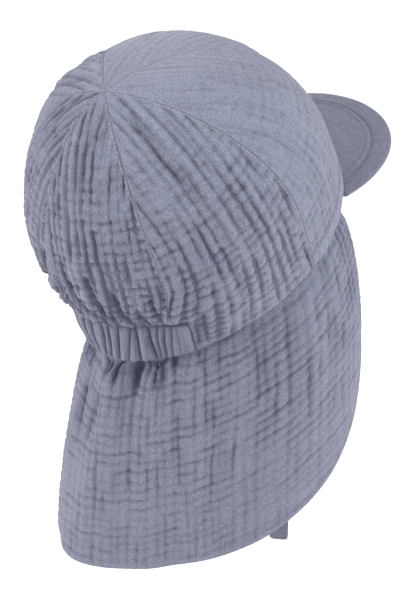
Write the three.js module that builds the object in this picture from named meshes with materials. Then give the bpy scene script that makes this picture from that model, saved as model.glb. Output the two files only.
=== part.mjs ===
// Child's legionnaire cap of crinkled cotton muslin, in millimetres.
// It has a crown of six panels, a gathered elastic casing at the nape, a long
// neck flap, a padded peak and two chin ties.
// Frame: +Z is up, the peak points to -Y and the wearer's right is -X.
// The origin is the inside of the crown's top, where a head carries the cap.

import * as THREE from 'three';

const degrees = Math.PI / 180;

// Cloth
const clothWall = 1.6; // two layers of muslin
const seamGap = 0.3; // clearance between pieces that are sewn together
const facetRoom = 0.3; // more clearance where flat facets lie in a round wall

// Crown, measured from its own axis, which leans back from the vertical
const crownTilt = 21 * degrees;
const crownFront = 97.1; // reach of the widest line at the front, side and back
const crownSide = 75.1;
const crownBack = 64.9;
const widestDropFront = 80.8; // how far the widest line lies below the seat
const widestDropSide = 73.6;
const widestDropBack = 88.2;
const domeFront = 2.02; // roundness of the dome: 2 is an ellipse, more is squarer
const domeSide = 1.97;
const domeBack = 1.98;
const rimFront = 97.4; // reach of the lower edge, before the elastic draws it in
const rimSide = 63.3;
const rimBack = 70;
const rimHollow = 6.2; // how far the edge is drawn in between side and back
const skirtFront = 23.1; // height from the widest line down to the lower edge
const skirtSide = 54;
const skirtBack = 48.2;
const skirtHollow = 1.2;
const skirtPower = 1.7; // how late the crown turns in below its widest line
const tipRadius = 1.2; // where the six panel tips end round the top
const panelPuff = 1.8; // how far a panel bellies out from its seams
const seamPinch = 0.8; // share of the puff by which the seams lie inside the plain shell
const panelCount = 6;
const panelRows = 15;
const rowsAboveBlouse = 0.8; // share of the rows that run level down to the blouse
const rowSpread = 1.1; // more than 1 sets the rows closer together at the top

// Elastic casing at the nape
const casingEnd = 112 * degrees; // angle from the front where it starts and ends
const casingHeight = 27;
const casingNotch = 0.3 * degrees; // half the width of the step at its ends
const columnRoom = 2.5 * degrees; // no other column of a panel lies closer to the step
const casingDraw = 6; // how far the elastic draws the nape in
const casingLean = 1.6; // how far its top lies inside its foot
const drawStart = 106.7 * degrees; // angles between which the draw grows
const drawEnd = 154.7 * degrees;
const napePower = 1.3; // how late the crown turns in above the casing
const seamPull = 7 * degrees; // how far round the elastic pulls the crown's cloth
const footPull = 5 * degrees; // how much further at the casing's foot
const pullHeight = 62; // height above the foot at which the pull begins
const pullStart = 95 * degrees; // angles between which it grows
const pullFull = 120 * degrees;
const pullBack = 140 * degrees; // from here it fades to nothing at the centre back
const pleatDepth = 2.2;
const pleatCount = 15;
const pleatSteps = 5; // columns for each pleat
const flatEnd = 0.14; // share of the casing that lies flat at either end
const flatHeight = 0.25; // share of the pleat depth at which it lies
const blouseReach = 3; // how far the crown bellies out over the casing
const blouseHeight = 22;
const blouseTurn = 6; // height over which its lower edge turns in again
const blouseStart = 111 * degrees; // angles between which it grows
const blouseFull = 127 * degrees;

// Neck flap
const flapStart = 36 * degrees; // angle from the front where its edge begins
const flapTuck = 5; // how far it runs up inside the crown's edge
const flapBackLength = 131; // below the lower edge at the centre back
const flapFrontLength = 83.5; // straight front edge below the crown's edge
const cornerWidth = 156; // the round corner between front edge and hem
const cornerPower = 1.9;
const flareLengthBack = 55; // how far down the flap has swung out
const flareLengthFront = 33;
const fluteReach = 5; // reach of a full flute below the casing
const fluteStart = 7; // how far below the casing a flute is full
const flapRows = 10;
const flapRowSpread = 1.25;

// Peak
const peakEnd = 31 * degrees; // angle from the front where its ends lie
const peakLength = 37; // from the crown's edge to the tip, along the crown's axis
const peakDroop = 0.44; // drop for each millimetre forward of the edge
const peakThickness = 3.4;
const peakEdge = 1.8; // thickness of its rolled edge
const peakMargin = 12; // from the edge in to the stitched groove
const grooveDepth = 0.5;
const grooveWidth = 3;
const peakEndWidth = 3.2; // width of its strip at the two ends
const peakRows = [0, 0.2, 0.4, 0.55, 0.66, 0.74, 0.82, 0.93, 1]; // chosen rows, close at the groove

// Chin ties
const tieAngle = 71 * degrees;
const tieWidth = 10;
const tieThickness = 1.5;
const tieLength = 168; // the free length below the crown's edge
const tieTuck = 6;
const tieCorner = 2; // cut off the two lower corners

// Folds of the crown over the casing. Angle from the front in degrees, wearer's
// right positive; width in degrees; depth and height as shares of the blouse.
const blouseFolds = [
  { angle: 128, width: 5, depth: 0.7, height: 1.1 },
  { angle: 141, width: 4, depth: 1, height: 0.9 },
  { angle: 155, width: 5, depth: 0.8, height: 1.2 },
  { angle: 170, width: 4, depth: 1, height: 0.8 },
  { angle: 186, width: 5, depth: 0.9, height: 1.1 },
  { angle: 201, width: 4, depth: 1, height: 0.9 },
  { angle: 217, width: 5, depth: 0.8, height: 1.2 },
  { angle: 231, width: 5, depth: 0.7, height: 1 },
];

// Flutes of the flap. Angle and width in degrees; reach as a share of
// fluteReach, outward positive; length as a share of the flap's back length.
const flutes = [
  { angle: 121, width: 6, reach: 0.4, length: 0.3 },
  { angle: 132, width: 6, reach: -0.5, length: 0.36 },
  { angle: 143, width: 6, reach: 0.8, length: 0.42 },
  { angle: 155, width: 6, reach: -1, length: 0.36 },
  { angle: 167, width: 6, reach: 0.9, length: 0.4 },
  { angle: 179, width: 6, reach: -0.8, length: 0.36 },
  { angle: 191, width: 6, reach: -0.5, length: 0.6 },
  { angle: 203, width: 6, reach: -1.6, length: 0.7 },
  { angle: 215, width: 6, reach: -1, length: 0.45 },
  { angle: 227, width: 6, reach: -0.6, length: 0.36 },
  { angle: 238, width: 6, reach: 0.4, length: 0.3 },
];

// How far the flap swings out at the hem. Place 0 is the centre back and 1 the
// front edge; reach is in millimetres.
const flareRows = [
  { place: 0, reach: 17.8 },
  { place: 0.35, reach: 8.5 },
  { place: 0.7, reach: 9.7 },
  { place: 1, reach: 17.2 },
];

// Slow waves that grow towards the hem. Angle and width in degrees, reach in
// millimetres at the hem.
const hemWaves = [
  { angle: 148, width: 12, reach: 0.5 },
  { angle: 180, width: 12, reach: 5.9 },
  { angle: 204, width: 10, reach: 6.3 },
  { angle: 214, width: 6, reach: 2.4 },
  { angle: 240, width: 14, reach: -3 },
];

const muslinColour = 0x8d91aa;
const tieColour = 0x868aa2;

// A smooth ring of values through a front, a side and a back value.
function ring(front, side, back, angle, hollow = 0) {
  const around = Math.cos(angle);
  const level = (front + 2 * side + back) / 4;
  const lean = (front - back) / 2;
  const oval = (front - 2 * side + back) / 4;
  const bend = 2 * hollow * Math.sin(angle) ** 2 * around;
  return level + lean * around + oval * Math.cos(2 * angle) + bend;
}

// A point of the leaning crown, from its side, forward and up distances.
function leaning(side, forward, up) {
  const y = up * Math.sin(crownTilt) - forward * Math.cos(crownTilt);
  const z = up * Math.cos(crownTilt) + forward * Math.sin(crownTilt);
  return new THREE.Vector3(side, y, z);
}

// Eases from 0 to 1 as the value goes from one limit to the other.
function smoothStep(from, to, value) {
  return THREE.MathUtils.smoothstep((value - from) / (to - from), 0, 1);
}

function bell(distance, width) {
  return Math.exp(-((distance / width) ** 2));
}

// Angle from the front, from 0 to 180 degrees on either side.
function fromFront(angle) {
  const turned = THREE.MathUtils.euclideanModulo(angle, 2 * Math.PI);
  return Math.min(turned, 2 * Math.PI - turned);
}

const widestReach = (angle) => ring(crownFront, crownSide, crownBack, angle);
const widestDrop = (angle) => ring(widestDropFront, widestDropSide, widestDropBack, angle);
const skirtHeight = (angle) => ring(skirtFront, skirtSide, skirtBack, angle, -skirtHollow);
const domePower = (angle) => 2 / ring(domeFront, domeSide, domeBack, angle);

// Share of the elastic's full pull on the nape.
const pullAt = (angle) => smoothStep(drawStart, drawEnd, fromFront(angle));

// Reach of the crown's lower edge.
function rimReach(angle) {
  return ring(rimFront, rimSide, rimBack, angle, rimHollow) - casingDraw * pullAt(angle);
}

// Reach below the widest line. Lower is 0 there and 1 at the lower edge. Where
// the elastic pulls, the cloth turns in to the casing, which stands upright.
function skirtReach(angle, lower) {
  const widest = widestReach(angle);
  const rim = rimReach(angle);
  const height = skirtHeight(angle);
  const above = height * (1 - lower);
  const plain = widest - (widest - rim) * lower ** skirtPower;
  const fallen = lower * height / (height - casingHeight);
  const overCasing = widest - (widest - rim + casingLean) * Math.min(fallen, 1) ** napePower;
  const casing = rim - casingLean * above / casingHeight;
  return THREE.MathUtils.lerp(plain, above > casingHeight ? overCasing : casing, pullAt(angle));
}

// The crown's outer face. Place 0 is the top, 1 the widest line and 2 the
// lower edge, which is also the casing's foot.
function shellPoint(angle, place) {
  const lower = Math.max(place - 1, 0);
  const upper = Math.min(place, 1) * (Math.PI / 2);
  const power = domePower(angle);
  const dome = (widestDrop(angle) + clothWall) * (1 - Math.cos(upper) ** power);
  const reach = place <= 1 ? widestReach(angle) * Math.sin(upper) ** power : skirtReach(angle, lower);
  const drop = place <= 1 ? dome : widestDrop(angle) + clothWall + skirtHeight(angle) * lower;
  return leaning(-Math.sin(angle) * reach, Math.cos(angle) * reach, clothWall - drop);
}

// The place on the shell that lies a given height above the lower edge.
function placeAbove(angle, height) {
  return 2 - height / skirtHeight(angle);
}

// Where the elastic pulls a point of the cloth, as its angle and place.
function pulledRound(angle, place) {
  const height = (2 - place) * skirtHeight(angle);
  const beside = fromFront(angle);
  const near = smoothStep(pullStart, pullFull, beside) * smoothStep(Math.PI, pullBack, beside);
  const turn = seamPull * smoothStep(pullHeight, casingHeight, height);
  const further = footPull * Math.max(0, 1 - height / casingHeight);
  const moved = angle + Math.sign(Math.PI - angle) * near * (turn + further);
  return { angle: moved, place: placeAbove(moved, height) };
}

// Outward direction of a surface given by a function of two values.
function outwardOf(surface, u, v, step = 1e-3) {
  const across = surface(u + step, v).sub(surface(u - step, v));
  const along = surface(u, v + step).sub(surface(u, v - step));
  return across.cross(along).normalize();
}

const shellOutward = (angle, place) => outwardOf(shellPoint, angle, THREE.MathUtils.clamp(place, 0.02, 1.99));

// A closed solid between an outer and an inner grid of points.
function solidBetween(outer, inner) {
  const rows = outer.length;
  const columns = outer[0].length;
  const points = [...outer.flat(), ...inner.flat()];
  const back = rows * columns;
  const at = (row, column) => row * columns + column;
  const faces = [];
  const quad = (a, b, c, d) => faces.push(a, c, b, a, d, c);
  for (let row = 0; row + 1 < rows; row += 1) {
    for (let column = 0; column + 1 < columns; column += 1) {
      const [a, b] = [at(row, column), at(row, column + 1)];
      const [c, d] = [at(row + 1, column + 1), at(row + 1, column)];
      quad(a, d, c, b);
      quad(back + a, back + b, back + c, back + d);
    }
  }
  for (let column = 0; column + 1 < columns; column += 1) {
    const [a, b] = [at(0, column), at(0, column + 1)];
    const [c, d] = [at(rows - 1, column), at(rows - 1, column + 1)];
    quad(a, b, back + b, back + a);
    quad(d, c, back + c, back + d);
  }
  for (let row = 0; row + 1 < rows; row += 1) {
    const [a, b] = [at(row, 0), at(row + 1, 0)];
    const [c, d] = [at(row, columns - 1), at(row + 1, columns - 1)];
    quad(b, a, back + a, back + b);
    quad(c, d, back + d, back + c);
  }
  const geometry = new THREE.BufferGeometry();
  const positions = new Float32Array(points.flatMap((point) => point.toArray()));
  geometry.setAttribute('position', new THREE.BufferAttribute(positions, 3));
  geometry.setIndex(faces);
  geometry.computeVertexNormals();
  return geometry;
}

const steps = (count) => Array.from({ length: count + 1 }, (_, index) => index / count);

function mesh(name, geometry, colour = muslinColour, roughness = 0.95) {
  const material = new THREE.MeshStandardMaterial({ color: colour, roughness, metalness: 0 });
  const made = new THREE.Mesh(geometry, material);
  made.name = name;
  return made;
}

// Height of a panel's lower edge above the casing's foot.
function panelLift(angle) {
  return fromFront(angle) > casingEnd ? casingHeight + seamGap : 0;
}

// How far the crown's cloth stands out from the plain shell.
function crownRelief(angle, place, share) {
  const above = (placeAbove(angle, casingHeight) - place) * skirtHeight(angle);
  const belly = bell(above - blouseHeight / 2, blouseHeight / 2) * blouseReach;
  let folds = 0;
  for (const fold of blouseFolds) {
    const beside = bell(angle / degrees - fold.angle, fold.width);
    folds += beside * fold.depth * bell(above, blouseHeight * fold.height);
  }
  const puff = panelPuff * (Math.sin(Math.PI * share) - seamPinch);
  const fadeAtTop = smoothStep(0, 0.5, place);
  const fadeAtEdge = smoothStep(2, 1.4, place);
  const overCasing = smoothStep(blouseStart, blouseFull, fromFront(angle)) * smoothStep(0, blouseTurn, above);
  return puff * fadeAtTop * fadeAtEdge + overCasing * (belly - folds * blouseReach);
}

// Angles of a panel's columns, with a narrow column where the casing ends.
function panelAngles(from, to, columns) {
  const edge = [casingEnd, 2 * Math.PI - casingEnd].find((angle) => angle > from && angle < to);
  const plain = steps(columns).map((share) => from + (to - from) * share);
  if (edge === undefined) {
    return plain;
  }
  const kept = plain.filter((angle) => Math.abs(angle - edge) > columnRoom);
  return [...kept, edge - casingNotch, edge + casingNotch].sort((a, b) => a - b);
}

// One of the six panels, from its tip at the top to its lower edge.
function crownPanel(name, index, columns) {
  const from = index * (2 * Math.PI / panelCount);
  const to = from + 2 * Math.PI / panelCount;
  const angles = panelAngles(from, to, columns);
  const outer = [];
  const inner = [];
  for (const down of steps(panelRows)) {
    const outerRow = [];
    const innerRow = [];
    for (const wanted of angles) {
      const round = shellPoint(wanted, panelPlace(wanted, down));
      const margin = seamGap / 2 / Math.hypot(round.x, leanForward(round));
      const sewn = THREE.MathUtils.mapLinear(wanted, from, to, from + margin, to - margin);
      const share = (sewn - from) / (to - from);
      const { angle, place } = pulledRound(sewn, panelPlace(wanted, down));
      const outward = shellOutward(angle, place);
      const relief = crownRelief(angle, place, share);
      const point = shellPoint(angle, place).addScaledVector(outward, relief);
      outerRow.push(point);
      innerRow.push(point.clone().addScaledVector(outward, -clothWall));
    }
    outer.push(outerRow);
    inner.push(innerRow);
  }
  return mesh(name, solidBetween(outer, inner));
}

// Place on the shell of a panel's row. The rows run level down to the blouse,
// and the last ones share what is left above the panel's own lower edge.
function panelPlace(angle, down) {
  const level = 2 - (casingHeight + blouseTurn) / skirtBack;
  const end = placeAbove(angle, panelLift(angle));
  const tip = tipPlace(angle);
  if (down <= rowsAboveBlouse) {
    return tip + (level - tip) * (down / rowsAboveBlouse) ** rowSpread;
  }
  return level + (end - level) * (down - rowsAboveBlouse) / (1 - rowsAboveBlouse);
}

// Forward distance of a point in the leaning frame of the crown.
function leanForward(point) {
  return point.z * Math.sin(crownTilt) - point.y * Math.cos(crownTilt);
}

// Place on the shell where a panel's tip ends.
function tipPlace(angle) {
  return Math.asin((tipRadius / widestReach(angle)) ** (1 / domePower(angle))) / (Math.PI / 2);
}

// Gathered relief of the casing: pleats that lie at uneven gaps and fade at its
// flat ends. Both sines shift them by less than half a pleat.
function pleatRelief(share) {
  const wander = 0.35 * Math.sin(9.3 * share + 0.6) + 0.2 * Math.sin(23 * share);
  const wave = 0.5 + 0.5 * Math.cos(2 * Math.PI * (pleatCount * share + wander));
  const gathered = smoothStep(0, flatEnd, share) * smoothStep(1, 1 - flatEnd, share);
  return pleatDepth * THREE.MathUtils.lerp(flatHeight, wave, gathered);
}

// The elastic casing that draws the nape in.
function elasticCasing() {
  const columns = pleatCount * pleatSteps;
  const outer = [];
  const inner = [];
  for (const up of steps(3)) {
    const outerRow = [];
    const innerRow = [];
    for (const share of steps(columns)) {
      const start = casingEnd + casingNotch + seamGap / rimSide;
      const sewn = start + (2 * Math.PI - 2 * start) * share;
      const { angle, place } = pulledRound(sewn, placeAbove(sewn, casingHeight * (1 - up)));
      const outward = shellOutward(angle, place);
      const bulge = Math.sin(Math.PI * (0.15 + 0.7 * up)); // most at half height
      const point = shellPoint(angle, place);
      outerRow.push(point.clone().addScaledVector(outward, pleatRelief(share) * bulge));
      innerRow.push(point.clone().addScaledVector(outward, -clothWall));
    }
    outer.push(outerRow);
    inner.push(innerRow);
  }
  return mesh('elastic_casing', solidBetween(outer, inner));
}

// Value of a table column at a place, along a smooth line through its rows.
function fromRows(rows, place, column) {
  const last = rows.findIndex((row) => row.place >= place);
  const after = rows[Math.max(last, 1)];
  const before = rows[Math.max(last, 1) - 1];
  const share = (place - before.place) / (after.place - before.place);
  const eased = THREE.MathUtils.smoothstep(share, 0, 1);
  return THREE.MathUtils.lerp(before[column], after[column], eased);
}

// A point on the crown's lower edge, moved in to where the flap's cloth lies.
function flapTop(angle, height) {
  const place = placeAbove(angle, height);
  const inset = clothWall + seamGap + facetRoom;
  return shellPoint(angle, place).addScaledVector(shellOutward(angle, place), -inset);
}

// Share of the way along the crown's edge from the centre back to the flap's
// front edge, measured as a length seen from above.
const edgeAngles = steps(120).map((share) => Math.PI - (Math.PI - flapStart) * share);
const edgeLengths = [0];
for (let index = 1; index < edgeAngles.length; index += 1) {
  const before = shellPoint(edgeAngles[index - 1], 2);
  const after = shellPoint(edgeAngles[index], 2);
  edgeLengths.push(edgeLengths[index - 1] + Math.hypot(after.x - before.x, after.y - before.y));
}
const edgeTotal = edgeLengths.at(-1);

function lengthToFront(place) {
  const exact = place * (edgeLengths.length - 1);
  const index = Math.min(Math.floor(exact), edgeLengths.length - 2);
  const here = THREE.MathUtils.lerp(edgeLengths[index], edgeLengths[index + 1], exact - index);
  return edgeTotal - here;
}

// Height of the hem: level at the back and rounded up to the front edge.
function hemHeight(place) {
  const bottom = shellPoint(Math.PI, 2).z - flapBackLength;
  const corner = shellPoint(flapStart, 2).z - flapFrontLength;
  const round = Math.max(0, 1 - lengthToFront(place) / cornerWidth);
  return bottom + (corner - bottom) * (1 - (1 - round ** cornerPower) ** (1 / cornerPower));
}

function hemWave(angle, down) {
  const reaches = hemWaves.map((wave) => wave.reach * bell(angle / degrees - wave.angle, wave.width));
  return reaches.reduce((total, reach) => total + reach) * smoothStep(0, 1, down);
}

function fluteRelief(angle, drop) {
  let relief = 0;
  for (const flute of flutes) {
    const beside = bell(angle / degrees - flute.angle, flute.width);
    const fade = Math.exp(-drop / (flute.length * flapBackLength));
    relief += flute.reach * fluteReach * beside * fade;
  }
  return relief * smoothStep(0, fluteStart, drop);
}

// A point of the flap's outer face. Side runs from -1 at the wearer's left
// front edge through 0 at the centre back to 1 at the right; down runs from 0
// at the crown's edge to 1 at the hem.
function flapPoint(side, down) {
  const place = Math.abs(side);
  const angle = Math.PI - side * (Math.PI - flapStart);
  const top = flapTop(angle, 0);
  const drop = (top.z - hemHeight(place)) * down;
  const fallen = THREE.MathUtils.lerp(flareLengthBack, flareLengthFront, place);
  const flare = fromRows(flareRows, place, 'reach') * (1 - Math.exp(-drop / fallen));
  const outward = new THREE.Vector3(top.x, top.y - shellPoint(Math.PI / 2, 2).y, 0).normalize();
  const swing = flare + fluteRelief(angle, drop) + hemWave(angle, down);
  return new THREE.Vector3(top.x, top.y, top.z - drop).addScaledVector(outward, swing);
}

// The neck flap, one cloth from one temple round the back to the other.
function neckFlap() {
  const sides = flapSides();
  const outer = [];
  const inner = [];
  for (const height of [flapTuck, 1]) {
    outer.push([]);
    inner.push([]);
    for (const side of sides) {
      const angle = Math.PI - side * (Math.PI - flapStart);
      const place = placeAbove(angle, height);
      const point = flapTop(angle, height);
      outer.at(-1).push(point);
      inner.at(-1).push(point.clone().addScaledVector(shellOutward(angle, place), -clothWall));
    }
  }
  for (const share of steps(flapRows)) {
    const down = share ** flapRowSpread;
    outer.push([]);
    inner.push([]);
    for (const side of sides) {
      const limit = 0.999; // the side at which the outward direction is taken stays inside
      const held = THREE.MathUtils.clamp(side, -limit, limit);
      const outward = outwardOf(flapPoint, held, Math.max(down, 0.02)).negate();
      const point = flapPoint(side, down);
      outer.at(-1).push(point);
      inner.at(-1).push(point.clone().addScaledVector(outward, -clothWall));
    }
  }
  for (const grid of [outer, inner]) {
    grid.forEach((row) => row.reverse());
  }
  return mesh('neck_flap', solidBetween(outer, inner));
}

// Where the flap's columns lie: close together under the casing, where the
// flutes are, and again towards the two front edges, where the hem turns up.
function flapSides() {
  const gathered = (Math.PI - casingEnd) / (Math.PI - flapStart);
  const half = steps(20).map((share) => share * gathered);
  const smooth = steps(11).slice(1);
  smooth.forEach((share) => half.push(gathered + (1 - gathered) * Math.sin(share * Math.PI / 2)));
  return [...half.slice(1).reverse().map((side) => -side), ...half];
}

// A point of the peak's middle face. Side runs from -1 to 1 across it, out from
// 0 under the crown's edge to 1 at the rolled edge.
function peakPoint(side, out) {
  const angle = peakEnd * side;
  const inner = rimReach(angle) - clothWall;
  const edgeDrop = widestDrop(angle) + skirtHeight(angle);
  const endSide = Math.sin(peakEnd) * rimReach(peakEnd);
  const endForward = Math.cos(peakEnd) * rimReach(peakEnd);
  const turn = side * Math.PI / 2;
  const sideFrom = Math.sin(angle) * inner;
  const forwardFrom = Math.cos(angle) * inner;
  const sideTo = Math.sin(turn) * (endSide + peakEndWidth / 2);
  const forwardTo = endForward + peakEndWidth / 2 + (rimFront + peakLength - endForward) * Math.cos(turn);
  const forward = THREE.MathUtils.lerp(forwardFrom, forwardTo, out);
  const sideways = THREE.MathUtils.lerp(sideFrom, sideTo, out);
  const ahead = forward - forwardFrom;
  const halfAlongDrop = peakThickness / 2 * Math.hypot(1, peakDroop);
  const drop = edgeDrop + seamGap + halfAlongDrop + peakDroop * ahead;
  return leaning(-sideways, forward, -drop);
}

// Half the peak's thickness, with a stitched groove and a rolled edge.
function peakHalf(side, out) {
  const here = peakPoint(side, out);
  const edge = here.distanceTo(peakPoint(side, 1));
  const rolled = smoothStep(0, peakThickness, edge);
  const groove = grooveDepth * bell(edge - peakMargin, grooveWidth / 2);
  return THREE.MathUtils.lerp(peakEdge, peakThickness, rolled) / 2 - groove / 2;
}

// The padded peak, seated under the crown's front edge.
function peak() {
  const outer = [];
  const inner = [];
  for (const out of peakRows) {
    outer.push([]);
    inner.push([]);
    for (const share of steps(28)) {
      const side = 1 - 2 * share;
      const held = THREE.MathUtils.clamp(side, -0.98, 0.98);
      const outward = outwardOf(peakPoint, held, THREE.MathUtils.clamp(out, 0.02, 0.98)).negate();
      const half = peakHalf(side, out);
      outer.at(-1).push(peakPoint(side, out).addScaledVector(outward, half));
      inner.at(-1).push(peakPoint(side, out).addScaledVector(outward, -half));
    }
  }
  return mesh('peak', solidBetween(outer, inner), muslinColour, 0.9);
}

// A chin tie hangs straight down inside the flap. Hand is 1 on the wearer's
// right and -1 on the left.
function chinTie(name, hand) {
  const foot = flapTop(tieAngle, 0);
  const nearby = 0.02;
  const beside = flapTop(tieAngle + nearby, 0).sub(flapTop(tieAngle - nearby, 0)).setZ(0).normalize();
  const outward = new THREE.Vector3(-beside.y, beside.x, 0);
  const flatness = tieWidth ** 2 / (4 * rimSide); // a flat tie inside a round wall
  const inset = clothWall + seamGap + facetRoom + flatness;
  const face = foot.clone().addScaledVector(outward, -inset);
  const rows = [
    { height: tieTuck, width: tieWidth },
    { height: tieCorner - tieLength, width: tieWidth },
    { height: -tieLength, width: tieWidth - 2 * tieCorner },
  ];
  const outer = [];
  const inner = [];
  for (const { height, width } of rows) {
    const middle = face.clone().setZ(face.z + height);
    const row = [-0.5, 0.5].map((share) => middle.clone().addScaledVector(beside, share * width));
    outer.push(row);
    inner.push(row.map((point) => point.clone().addScaledVector(outward, -tieThickness)));
  }
  const geometry = solidBetween(outer, inner);
  if (hand < 0) {
    geometry.scale(-1, 1, 1);
    const index = geometry.index.array;
    for (let face = 0; face < index.length; face += 3) {
      [index[face + 1], index[face + 2]] = [index[face + 2], index[face + 1]];
    }
  }
  return mesh(name, geometry, tieColour, 0.8);
}

const cap = new THREE.Group();
cap.add(crownPanel('crown_panel_front_right', 0, 10));
cap.add(crownPanel('crown_panel_side_right', 1, 12));
cap.add(crownPanel('crown_panel_back_right', 2, 16));
cap.add(crownPanel('crown_panel_back_left', 3, 16));
cap.add(crownPanel('crown_panel_side_left', 4, 12));
cap.add(crownPanel('crown_panel_front_left', 5, 10));
cap.add(elasticCasing());
cap.add(neckFlap());
cap.add(peak());
cap.add(chinTie('chin_tie_right', 1));
cap.add(chinTie('chin_tie_left', -1));

export default cap;
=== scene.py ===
# Child's legionnaire cap of crinkled cotton muslin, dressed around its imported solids.
# Lengths are in millimetres until a mesh is made, which is in metres. Angles go round
# the crown from the front, and 90 degrees is the wearer's right, at -X.
import math

import bpy
import numpy as np
from mathutils import Matrix, Vector


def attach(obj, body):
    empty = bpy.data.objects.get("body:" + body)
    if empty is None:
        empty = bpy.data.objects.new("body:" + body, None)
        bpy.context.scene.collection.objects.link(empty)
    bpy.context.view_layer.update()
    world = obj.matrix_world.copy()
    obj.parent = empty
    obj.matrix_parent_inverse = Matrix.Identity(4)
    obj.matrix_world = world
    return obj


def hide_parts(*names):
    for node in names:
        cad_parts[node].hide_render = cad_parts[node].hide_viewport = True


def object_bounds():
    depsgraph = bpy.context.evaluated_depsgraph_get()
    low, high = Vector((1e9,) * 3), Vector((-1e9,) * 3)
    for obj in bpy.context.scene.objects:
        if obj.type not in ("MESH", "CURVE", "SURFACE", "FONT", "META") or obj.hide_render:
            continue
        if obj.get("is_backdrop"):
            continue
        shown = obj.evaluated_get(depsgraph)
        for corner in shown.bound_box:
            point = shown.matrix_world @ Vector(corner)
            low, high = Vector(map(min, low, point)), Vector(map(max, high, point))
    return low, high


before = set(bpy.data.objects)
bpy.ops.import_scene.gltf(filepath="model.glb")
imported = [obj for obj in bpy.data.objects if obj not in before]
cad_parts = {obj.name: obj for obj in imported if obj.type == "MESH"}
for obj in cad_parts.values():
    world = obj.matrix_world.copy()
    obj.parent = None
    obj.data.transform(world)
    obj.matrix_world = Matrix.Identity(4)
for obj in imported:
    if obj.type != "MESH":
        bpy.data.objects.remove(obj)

cad_box = [list(corner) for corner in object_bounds()]
MM = 0.001
DEGREES = math.pi / 180

# Cloth
CLOTH_WALL = 1.6
SEAM_GAP = 0.3
FACET_ROOM = 0.3

# Crown, measured from its own axis, which leans back. Its band's angles are degrees.
CROWN_TILT = 21 * DEGREES
CROWN_REACH = (97.1, 75.1, 64.9)  # reach of the widest line at the front, side and back
WIDEST_DROP = (80.8, 73.6, 88.2)
DOME_POWER = (2.02, 1.97, 1.98)
RIM_REACH = (97.4, 63.3, 70)
RIM_HOLLOW = 6.2
SKIRT_HEIGHT = (23.1, 54, 48.2)
SKIRT_HOLLOW = 1.2
SKIRT_POWER = 1.7
TIP_RADIUS = 0.3
PANEL_PUFF = 1.8
SEAM_PINCH = 0.8  # share of the puff by which the seams lie inside the plain shell
PANEL_COUNT = 6
FRONT_PUFF = 0.9  # how much further out the soft front panels stand
PANEL_STEPS = 200  # of a panel's grid, both ways
CROWN_CREASE = 0.95  # how far a full crease presses into the crown
CROWN_RUMPLE = 0.6
BAND_HEIGHT = 9  # of the crown's folded lower edge beside the peak
BAND_END = 70
BAND_FADE = 20
BAND_GROOVE = 0.8
BAND_STEP = 0.7  # how far the band stands out

# Elastic casing at the nape. Its plain angles are degrees from the front.
CASING_END = 112 * DEGREES
CASING_HEIGHT = 27
CASING_NOTCH = 0.3 * DEGREES
CASING_DRAW = 6
CASING_LEAN = 1.6
DRAW_START = 106.7
DRAW_END = 154.7
NAPE_POWER = 1.3
SEAM_PULL = 7 * DEGREES
FOOT_PULL = 5 * DEGREES
PULL_HEIGHT = 62
PULL_START = 95
PULL_FULL = 120
PULL_BACK = 140
PLEAT_DEPTH = 2.6
NAPE_DRAW = 1.2  # how much deeper the casing lies at the centre back
BLOUSE_REACH = 3.4
NAPE_SAG = 1.7  # how much further the cloth sags at the centre back
BLOUSE_HEIGHT = 22
BLOUSE_TURN = 6
BLOUSE_START = 111
BLOUSE_FULL = 127
CASING_TUCK = 3.5  # how far its top runs up under the crown
CASING_UNDER = 1.3 * DEGREES  # how far its ends run in under the crown's edge
CASING_STEPS = (560, 64)
GROOVE_DEPTH = 1.6
CASING_CREASE = 0.7

# Neck flap
FLAP_START = 34.6 * DEGREES
FLAP_TUCK = 5
FLAP_BACK_LENGTH = 131
FLAP_FRONT_LENGTH = 83.5
CORNER_WIDTH = 156
CORNER_POWER = 1.9
FLARE_LENGTH_BACK = 55
FLARE_LENGTH_FRONT = 33
FLUTE_REACH = 5
FLUTE_START = 7
HEM_WIDTH = 5.5
HEM_ROLL = 1.8  # how far the thick hem reaches below the plain cloth
SIDE_CELLS = 0.3  # how much deeper the flap's cells are at its sides
EDGE_DIP = 1.2  # how far the flap dips in just below the crown's edge
FLAP_COLUMNS = 721
FLAP_ROWS = 119
TUCK_ROWS = 6
FLAP_CREASE = 0.9
FLAP_RUMPLE = 0.8
FOLD_SHARE = 1.8  # times the depths in FLAP_FOLDS

# Peak
PEAK_END = 31 * DEGREES
PEAK_LENGTH = 36.2
PEAK_DROOP = 0.44
PEAK_THICKNESS = 3.4
PEAK_MARGIN = 12
PEAK_END_WIDTH = 3.2
PEAK_STEPS = (240, 72)
PEAK_GROOVE = 1.1
PEAK_PAD = 0.4
PEAK_RIM = 0.55

# Chin ties
TIE_ANGLE = 71 * DEGREES
TIE_WIDTH = 10
TIE_THICKNESS = 1.5
TIE_LENGTH = 168
TIE_TUCK = 6
TIE_CORNER = 2
TIE_TURN = -36 * DEGREES  # how far its lower end is turned
TIE_STEPS = (24, 228)
TIE_FACE_ROOM = 0.2  # room kept on its face for the ribs and the selvedge

# Flutes of the flap: angle and width in degrees, reach as a share of
# FLUTE_REACH, length as a share of the flap's back length.
FLUTES = np.array([
    (121, 6, 0.4, 0.3),
    (132, 6, -0.5, 0.36),
    (143, 6, 0.8, 0.42),
    (155, 6, -1, 0.36),
    (167, 6, 0.9, 0.4),
    (179, 6, -0.8, 0.36),
    (191, 6, -0.5, 0.6),
    (203, 6, -1.6, 0.7),
    (215, 6, -1, 0.45),
    (227, 6, -0.6, 0.36),
    (238, 6, 0.4, 0.3),
])

# How far the flap swings out at the hem: place from the centre back to the
# front edge, reach in millimetres.
FLARE_ROWS = np.array([(0, 17.8), (0.35, 8.5), (0.7, 9.7), (1, 17.2)])

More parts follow.
